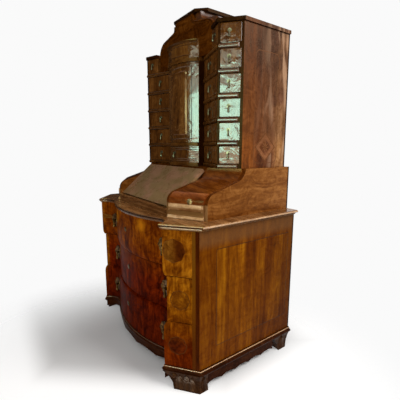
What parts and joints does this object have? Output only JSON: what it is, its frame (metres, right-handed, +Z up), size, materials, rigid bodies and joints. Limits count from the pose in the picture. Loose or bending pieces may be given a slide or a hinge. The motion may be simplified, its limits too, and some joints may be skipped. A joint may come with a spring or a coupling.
{
  "type": "tabernacle secretary",
  "caption": "Baroque writing cabinet: serpentine commode with long drawers, sloping writing lid, and an upper cabinet of small drawers round a convex door under a bell pediment.",
  "frame": {"origin": "on the floor under the middle of the piece's outline", "axes": "+Z up, front faces -Y, +X to the right of someone facing the front"},
  "size_m": [1.234, 0.808, 2.002],
  "materials": {
    "base_drawer_veneer": "polished walnut burl veneer",
    "cabinet_front_veneer": "polished walnut burl veneer",
    "side_veneer": "polished walnut veneer",
    "lid_veneer": "polished walnut veneer",
    "walnut_moulding": "polished solid walnut",
    "carved_walnut": "polished carved walnut",
    "carcass_softwood": "plain softwood",
    "dark_post": "dark polished walnut",
    "brass": "old polished brass"
  },
  "bodies": {
    "carcass": {"aprons": "carved_walnut", "back_panels": "carcass_softwood", "base_corner_posts": "dark_post", "base_drawer_guides": "carcass_softwood", "base_dust_boards": "carcass_softwood", "base_sides": "side_veneer", "base_top": "walnut_moulding", "cornice_cap": "walnut_moulding", "crown_roof": "side_veneer", "desk_floor": "carcass_softwood", "desk_front_rail": "walnut_moulding", "desk_shoulders": "side_veneer", "desk_sides": "side_veneer", "desk_top": "side_veneer", "feet": "carved_walnut", "hinges": "brass", "pediment": "side_veneer", "plinth_board": "walnut_moulding", "row_boards": "walnut_moulding", "upper_partitions": "dark_post", "upper_sides": "side_veneer", "upper_top": "walnut_moulding"},
    "base_drawer_bottom": {"base_drawer_bottom": "base_drawer_veneer"},
    "base_drawer_middle": {"base_drawer_middle": "base_drawer_veneer"},
    "base_drawer_top": {"base_drawer_top": "base_drawer_veneer"},
    "centre_drawer": {"centre_drawer": "cabinet_front_veneer"},
    "corner_drawer_left": {"corner_drawer_left": "side_veneer"},
    "corner_drawer_right": {"corner_drawer_right": "side_veneer"},
    "drawer_left_inner_1": {"drawer_left_inner_1": "cabinet_front_veneer"},
    "drawer_left_inner_2": {"drawer_left_inner_2": "cabinet_front_veneer"},
    "drawer_left_inner_3": {"drawer_left_inner_3": "cabinet_front_veneer"},
    "drawer_left_inner_4": {"drawer_left_inner_4": "cabinet_front_veneer"},
    "drawer_left_inner_5": {"drawer_left_inner_5": "cabinet_front_veneer"},
    "drawer_left_inner_6": {"drawer_left_inner_6": "cabinet_front_veneer"},
    "drawer_left_outer_1": {"drawer_left_outer_1": "cabinet_front_veneer"},
    "drawer_left_outer_2": {"drawer_left_outer_2": "cabinet_front_veneer"},
    "drawer_left_outer_3": {"drawer_left_outer_3": "cabinet_front_veneer"},
    "drawer_left_outer_4": {"drawer_left_outer_4": "cabinet_front_veneer"},
    "drawer_left_outer_5": {"drawer_left_outer_5": "cabinet_front_veneer"},
    "drawer_left_outer_6": {"drawer_left_outer_6": "cabinet_front_veneer"},
    "drawer_right_inner_1": {"drawer_right_inner_1": "cabinet_front_veneer"},
    "drawer_right_inner_2": {"drawer_right_inner_2": "cabinet_front_veneer"},
    "drawer_right_inner_3": {"drawer_right_inner_3": "cabinet_front_veneer"},
    "drawer_right_inner_4": {"drawer_right_inner_4": "cabinet_front_veneer"},
    "drawer_right_inner_5": {"drawer_right_inner_5": "cabinet_front_veneer"},
    "drawer_right_inner_6": {"drawer_right_inner_6": "cabinet_front_veneer"},
    "drawer_right_outer_1": {"drawer_right_outer_1": "cabinet_front_veneer"},
    "drawer_right_outer_2": {"drawer_right_outer_2": "cabinet_front_veneer"},
    "drawer_right_outer_3": {"drawer_right_outer_3": "cabinet_front_veneer"},
    "drawer_right_outer_4": {"drawer_right_outer_4": "cabinet_front_veneer"},
    "drawer_right_outer_5": {"drawer_right_outer_5": "cabinet_front_veneer"},
    "drawer_right_outer_6": {"drawer_right_outer_6": "cabinet_front_veneer"},
    "pull_left_bottom": {"pull_left_bottom": "brass"},
    "pull_left_middle": {"pull_left_middle": "brass"},
    "pull_left_top": {"pull_left_top": "brass"},
    "pull_right_bottom": {"pull_right_bottom": "brass"},
    "pull_right_middle": {"pull_right_middle": "brass"},
    "pull_right_top": {"pull_right_top": "brass"},
    "tabernacle_door": {"tabernacle_door": "cabinet_front_veneer"},
    "writing_lid": {"writing_lid": "lid_veneer"}
  },
  "joints": [
    {"name": "lid_hinge", "type": "hinge", "parent": "carcass", "child": "writing_lid", "pos_m": [0, -0.28, 0.9085], "axis": [1, 0, 0], "range_deg": [0, 139.5]},
    {"name": "door_hinge", "type": "hinge", "parent": "carcass", "child": "tabernacle_door", "pos_m": [-0.167, 0.0251, 1.2255], "axis": [0, 0, 1], "range_deg": [-95, 0]},
    {"name": "base_drawer_bottom_slide", "type": "slide", "parent": "carcass", "child": "base_drawer_bottom", "axis": [0, -1, 0], "range_m": [0, 0.38]},
    {"name": "base_drawer_middle_slide", "type": "slide", "parent": "carcass", "child": "base_drawer_middle", "axis": [0, -1, 0], "range_m": [0, 0.38]},
    {"name": "base_drawer_top_slide", "type": "slide", "parent": "carcass", "child": "base_drawer_top", "axis": [0, -1, 0], "range_m": [0, 0.38]},
    {"name": "centre_drawer_slide", "type": "slide", "parent": "carcass", "child": "centre_drawer", "axis": [0, -1, 0], "range_m": [0, 0.25]},
    {"name": "corner_drawer_left_slide", "type": "slide", "parent": "carcass", "child": "corner_drawer_left", "axis": [0, -1, 0], "range_m": [0, 0.2]},
    {"name": "corner_drawer_right_slide", "type": "slide", "parent": "carcass", "child": "corner_drawer_right", "axis": [0, -1, 0], "range_m": [0, 0.2]},
    {"name": "pull_left_bottom_swing", "type": "hinge", "parent": "base_drawer_bottom", "child": "pull_left_bottom", "pos_m": [-0.352, -0.337, 0.239], "axis": [-1, 0, 0], "range_deg": [0, 75]},
    {"name": "pull_right_bottom_swing", "type": "hinge", "parent": "base_drawer_bottom", "child": "pull_right_bottom", "pos_m": [0.352, -0.337, 0.239], "axis": [-1, 0, 0], "range_deg": [0, 75]},
    {"name": "pull_left_middle_swing", "type": "hinge", "parent": "base_drawer_middle", "child": "pull_left_middle", "pos_m": [-0.352, -0.325, 0.477], "axis": [-1, 0, 0], "range_deg": [0, 75]},
    {"name": "pull_right_middle_swing", "type": "hinge", "parent": "base_drawer_middle", "child": "pull_right_middle", "pos_m": [0.352, -0.325, 0.477], "axis": [-1, 0, 0], "range_deg": [0, 75]},
    {"name": "pull_left_top_swing", "type": "hinge", "parent": "base_drawer_top", "child": "pull_left_top", "pos_m": [-0.352, -0.337, 0.715], "axis": [-1, 0, 0], "range_deg": [0, 75]},
    {"name": "pull_right_top_swing", "type": "hinge", "parent": "base_drawer_top", "child": "pull_right_top", "pos_m": [0.352, -0.337, 0.715], "axis": [-1, 0, 0], "range_deg": [0, 75]},
    {"name": "drawer_left_outer_6_slide", "type": "slide", "parent": "carcass", "child": "drawer_left_outer_6", "axis": [0, -1, 0], "range_m": [0, 0.25]},
    {"name": "drawer_right_outer_6_slide", "type": "slide", "parent": "carcass", "child": "drawer_right_outer_6", "axis": [0, -1, 0], "range_m": [0, 0.25]},
    {"name": "drawer_left_inner_6_slide", "type": "slide", "parent": "carcass", "child": "drawer_left_inner_6", "axis": [0, -1, 0], "range_m": [0, 0.25]},
    {"name": "drawer_right_inner_6_slide", "type": "slide", "parent": "carcass", "child": "drawer_right_inner_6", "axis": [0, -1, 0], "range_m": [0, 0.25]},
    {"name": "drawer_left_outer_5_slide", "type": "slide", "parent": "carcass", "child": "drawer_left_outer_5", "axis": [0, -1, 0], "range_m": [0, 0.25]},
    {"name": "drawer_right_outer_5_slide", "type": "slide", "parent": "carcass", "child": "drawer_right_outer_5", "axis": [0, -1, 0], "range_m": [0, 0.25]},
    {"name": "drawer_left_inner_5_slide", "type": "slide", "parent": "carcass", "child": "drawer_left_inner_5", "axis": [0, -1, 0], "range_m": [0, 0.25]},
    {"name": "drawer_right_inner_5_slide", "type": "slide", "parent": "carcass", "child": "drawer_right_inner_5", "axis": [0, -1, 0], "range_m": [0, 0.25]},
    {"name": "drawer_left_outer_4_slide", "type": "slide", "parent": "carcass", "child": "drawer_left_outer_4", "axis": [0, -1, 0], "range_m": [0, 0.25]},
    {"name": "drawer_right_outer_4_slide", "type": "slide", "parent": "carcass", "child": "drawer_right_outer_4", "axis": [0, -1, 0], "range_m": [0, 0.25]},
    {"name": "drawer_left_inner_4_slide", "type": "slide", "parent": "carcass", "child": "drawer_left_inner_4", "axis": [0, -1, 0], "range_m": [0, 0.25]},
    {"name": "drawer_right_inner_4_slide", "type": "slide", "parent": "carcass", "child": "drawer_right_inner_4", "axis": [0, -1, 0], "range_m": [0, 0.25]},
    {"name": "drawer_left_outer_3_slide", "type": "slide", "parent": "carcass", "child": "drawer_left_outer_3", "axis": [0, -1, 0], "range_m": [0, 0.25]},
    {"name": "drawer_right_outer_3_slide", "type": "slide", "parent": "carcass", "child": "drawer_right_outer_3", "axis": [0, -1, 0], "range_m": [0, 0.25]},
    {"name": "drawer_left_inner_3_slide", "type": "slide", "parent": "carcass", "child": "drawer_left_inner_3", "axis": [0, -1, 0], "range_m": [0, 0.25]},
    {"name": "drawer_right_inner_3_slide", "type": "slide", "parent": "carcass", "child": "drawer_right_inner_3", "axis": [0, -1, 0], "range_m": [0, 0.25]},
    {"name": "drawer_left_outer_2_slide", "type": "slide", "parent": "carcass", "child": "drawer_left_outer_2", "axis": [0, -1, 0], "range_m": [0, 0.25]},
    {"name": "drawer_right_outer_2_slide", "type": "slide", "parent": "carcass", "child": "drawer_right_outer_2", "axis": [0, -1, 0], "range_m": [0, 0.25]},
    {"name": "drawer_left_inner_2_slide", "type": "slide", "parent": "carcass", "child": "drawer_left_inner_2", "axis": [0, -1, 0], "range_m": [0, 0.25]},
    {"name": "drawer_right_inner_2_slide", "type": "slide", "parent": "carcass", "child": "drawer_right_inner_2", "axis": [0, -1, 0], "range_m": [0, 0.25]},
    {"name": "drawer_left_outer_1_slide", "type": "slide", "parent": "carcass", "child": "drawer_left_outer_1", "axis": [0, -1, 0], "range_m": [0, 0.25]},
    {"name": "drawer_right_outer_1_slide", "type": "slide", "parent": "carcass", "child": "drawer_right_outer_1", "axis": [0, -1, 0], "range_m": [0, 0.25]},
    {"name": "drawer_left_inner_1_slide", "type": "slide", "parent": "carcass", "child": "drawer_left_inner_1", "axis": [0, -1, 0], "range_m": [0, 0.25]},
    {"name": "drawer_right_inner_1_slide", "type": "slide", "parent": "carcass", "child": "drawer_right_inner_1", "axis": [0, -1, 0], "range_m": [0, 0.25]}
  ]
}
